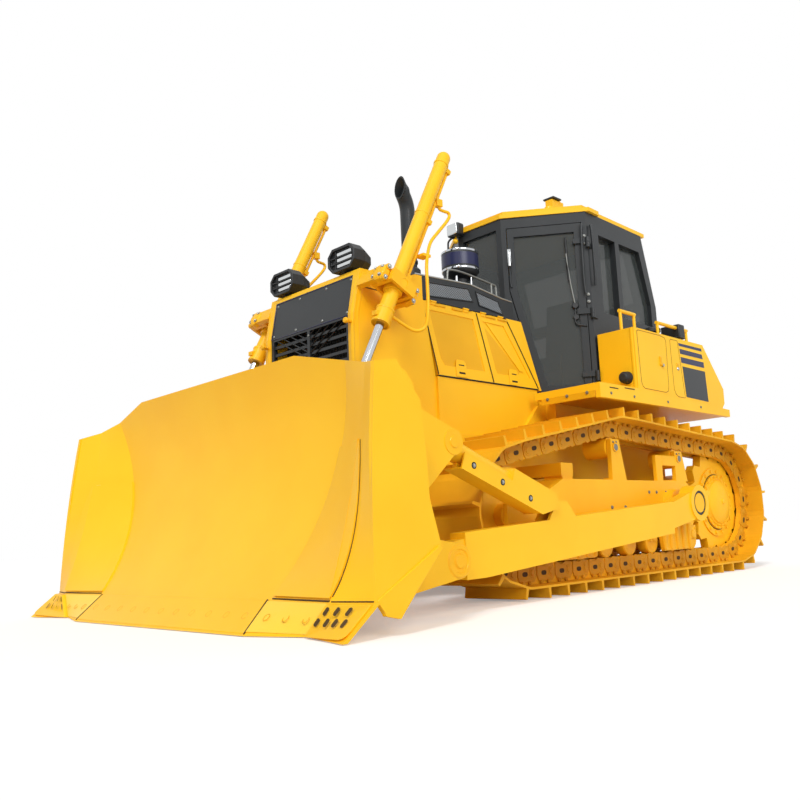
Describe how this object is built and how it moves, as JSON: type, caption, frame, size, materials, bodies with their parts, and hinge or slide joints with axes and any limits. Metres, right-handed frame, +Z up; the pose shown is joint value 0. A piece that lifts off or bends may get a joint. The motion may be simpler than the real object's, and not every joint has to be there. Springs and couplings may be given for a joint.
{
  "type": "crawler dozer",
  "caption": "Crawler dozer with a semi-U blade on two push arms, a six-sided cab, gull-wing engine covers and steel tracks.",
  "frame": {"origin": "on the ground, in the middle of the machine's length and width", "axes": "+Z up, -Y the way the blade faces, +X the machine's left side"},
  "size_m": [3.4, 5.4187, 3.22],
  "materials": {
    "yellow_paint": "gloss enamel",
    "black_paint": "satin black",
    "chrome_rod": "polished",
    "tinted_glass": "tinted",
    "black_plastic": "moulded",
    "seat_fabric": "woven",
    "engine_iron": "as cast"
  },
  "bodies": {
    "chassis": {"main_frame": "yellow_paint", "belly_guard": "yellow_paint", "pivot_shafts": "yellow_paint", "equalizer_bar": "yellow_paint", "engine_block": "engine_iron", "radiator_guard": "yellow_paint", "front_mask": "black_paint", "hood_top": "black_paint", "cowl": "yellow_paint", "engine_bay_sides": "yellow_paint", "exhaust_stack": "black_paint", "air_precleaner": "black_plastic", "cab_shell": "black_paint", "cab_roof": "yellow_paint", "cab_glass": "tinted_glass", "cab_console": "black_plastic", "operator_seat": "seat_fabric", "rear_tank": "yellow_paint", "drawbar": "yellow_paint", "head_lamps": "black_paint", "yoke_brackets": "yellow_paint", "track_left": "yellow_paint", "track_right": "yellow_paint", "track_frames": "yellow_paint", "idlers": "yellow_paint", "final_drives": "yellow_paint", "bottom_rollers": "yellow_paint", "carrier_rollers": "yellow_paint", "fenders": "yellow_paint", "side_tanks": "yellow_paint", "handrails": "yellow_paint"},
    "push_frame": {"trunnion_bushes": "yellow_paint"},
    "arm_left": {"push_arm_left": "yellow_paint"},
    "arm_right": {"push_arm_right": "yellow_paint"},
    "blade": {"blade": "yellow_paint", "cutting_edge": "yellow_paint"},
    "tilt_barrel": {"tilt_barrel": "yellow_paint"},
    "tilt_rod": {"tilt_rod": "chrome_rod"},
    "tilt_brace": {"tilt_brace": "yellow_paint"},
    "yoke_left": {"lift_yoke_left": "yellow_paint"},
    "yoke_right": {"lift_yoke_right": "yellow_paint"},
    "barrel_left": {"lift_barrel_left": "yellow_paint", "lift_pipe_left": "yellow_paint"},
    "barrel_right": {"lift_barrel_right": "yellow_paint", "lift_pipe_right": "yellow_paint"},
    "rod_left": {"lift_rod_left": "chrome_rod"},
    "rod_right": {"lift_rod_right": "chrome_rod"},
    "door_left": {"cab_door_left": "black_paint", "door_glass_left": "tinted_glass"},
    "door_right": {"cab_door_right": "black_paint", "door_glass_right": "tinted_glass"},
    "cover_front_left": {"side_cover_front_left": "yellow_paint"},
    "cover_front_right": {"side_cover_front_right": "yellow_paint"},
    "cover_rear_left": {"side_cover_rear_left": "yellow_paint"},
    "cover_rear_right": {"side_cover_rear_right": "yellow_paint"}
  },
  "joints": [
    {"name": "blade_lift", "type": "hinge", "parent": "chassis", "child": "push_frame", "pos_m": [0, 1.15, 0.572], "axis": [-1, 0, 0], "range_deg": [-6.6, 16.3]},
    {"name": "blade_tilt", "type": "hinge", "parent": "push_frame", "child": "blade", "pos_m": [0, -1.68, 0.282], "axis": [-0.4103, 0.9072, 0.093], "range_deg": [-5, 5]},
    {"name": "arm_left_swing", "type": "hinge", "parent": "push_frame", "child": "arm_left", "pos_m": [0, 1.15, 0.572], "axis": [-1, 0, 0], "range_deg": [-2.1, 2.1]},
    {"name": "arm_right_swing", "type": "hinge", "parent": "push_frame", "child": "arm_right", "pos_m": [0, 1.15, 0.572], "axis": [-1, 0, 0], "range_deg": [-2.1, 2.1]},
    {"name": "tilt_barrel_pin", "type": "hinge", "parent": "blade", "child": "tilt_barrel", "pos_m": [1.3, -1.682, 0.916], "axis": [0.9782, 0.088, 0.1883], "range_deg": [-3.4, 3.4]},
    {"name": "tilt_rod_slide", "type": "slide", "parent": "tilt_barrel", "child": "tilt_rod", "axis": [-0.0184, 0.939, -0.3434], "range_m": [-0.043, 0.043]},
    {"name": "brace_pin", "type": "hinge", "parent": "blade", "child": "tilt_brace", "pos_m": [-1.3, -1.682, 0.916], "axis": [-0.0071, 0.3436, 0.9391], "range_deg": [-0.7, 0.7]},
    {"name": "yoke_left_swing", "type": "hinge", "parent": "chassis", "child": "yoke_left", "pos_m": [0.695, -1.417, 2.01], "axis": [0, 0.8946, -0.4469], "range_deg": [-2.6, 2.6]},
    {"name": "barrel_left_nod", "type": "hinge", "parent": "yoke_left", "child": "barrel_left", "pos_m": [0.695, -1.417, 2.01], "axis": [-1, 0, 0], "range_deg": [-7.7, 18.8]},
    {"name": "rod_left_slide", "type": "slide", "parent": "barrel_left", "child": "rod_left", "axis": [0, 0.4469, 0.8946], "range_m": [-0.337, 0.83]},
    {"name": "yoke_right_swing", "type": "hinge", "parent": "chassis", "child": "yoke_right", "pos_m": [-0.695, -1.417, 2.01], "axis": [0, 0.8946, -0.4469], "range_deg": [-2.6, 2.6]},
    {"name": "barrel_right_nod", "type": "hinge", "parent": "yoke_right", "child": "barrel_right", "pos_m": [-0.695, -1.417, 2.01], "axis": [-1, 0, 0], "range_deg": [-7.7, 18.8]},
    {"name": "rod_right_slide", "type": "slide", "parent": "barrel_right", "child": "rod_right", "axis": [0, 0.4469, 0.8946], "range_m": [-0.337, 0.83]},
    {"name": "door_left_swing", "type": "hinge", "parent": "chassis", "child": "door_left", "pos_m": [0.822, 0.644, 1.492], "axis": [0, 0, 1], "range_deg": [0, 115]},
    {"name": "door_right_swing", "type": "hinge", "parent": "chassis", "child": "door_right", "pos_m": [-0.822, 0.644, 1.492], "axis": [0, 0, -1], "range_deg": [0, 115]},
    {"name": "cover_front_left_lift", "type": "hinge", "parent": "chassis", "child": "cover_front_left", "pos_m": [0.488, -0.69, 2.053], "axis": [0, -1, 0], "range_deg": [0, 90]},
    {"name": "cover_rear_left_lift", "type": "hinge", "parent": "chassis", "child": "cover_rear_left", "pos_m": [0.488, -0.23, 2.053], "axis": [0, -1, 0], "range_deg": [0, 90]},
    {"name": "cover_front_right_lift", "type": "hinge", "parent": "chassis", "child": "cover_front_right", "pos_m": [-0.488, -0.69, 2.053], "axis": [0, 1, 0], "range_deg": [0, 90]},
    {"name": "cover_rear_right_lift", "type": "hinge", "parent": "chassis", "child": "cover_rear_right", "pos_m": [-0.488, -0.23, 2.053], "axis": [0, 1, 0], "range_deg": [0, 90]}
  ],
  "couplings": [
    {"joint": "arm_left_swing", "follows": "blade_tilt", "ratio": -0.41032},
    {"joint": "arm_right_swing", "follows": "blade_tilt", "ratio": 0.41032},
    {"joint": "tilt_barrel_pin", "follows": "blade_tilt", "ratio": 0.66825},
    {"joint": "tilt_rod_slide", "follows": "blade_tilt", "m_per_rad": -0.48526},
    {"joint": "brace_pin", "follows": "blade_tilt", "ratio": 0.1307},
    {"joint": "yoke_left_swing", "follows": "blade_tilt", "ratio": -0.517},
    {"joint": "barrel_left_nod", "follows": "blade_lift", "ratio": 1.1464},
    {"joint": "rod_left_slide", "follows": "blade_lift", "m_per_rad": 2.9097},
    {"joint": "yoke_right_swing", "follows": "blade_tilt", "ratio": -0.517},
    {"joint": "barrel_right_nod", "follows": "blade_lift", "ratio": 1.1464},
    {"joint": "rod_right_slide", "follows": "blade_lift", "m_per_rad": 2.9097}
  ]
}
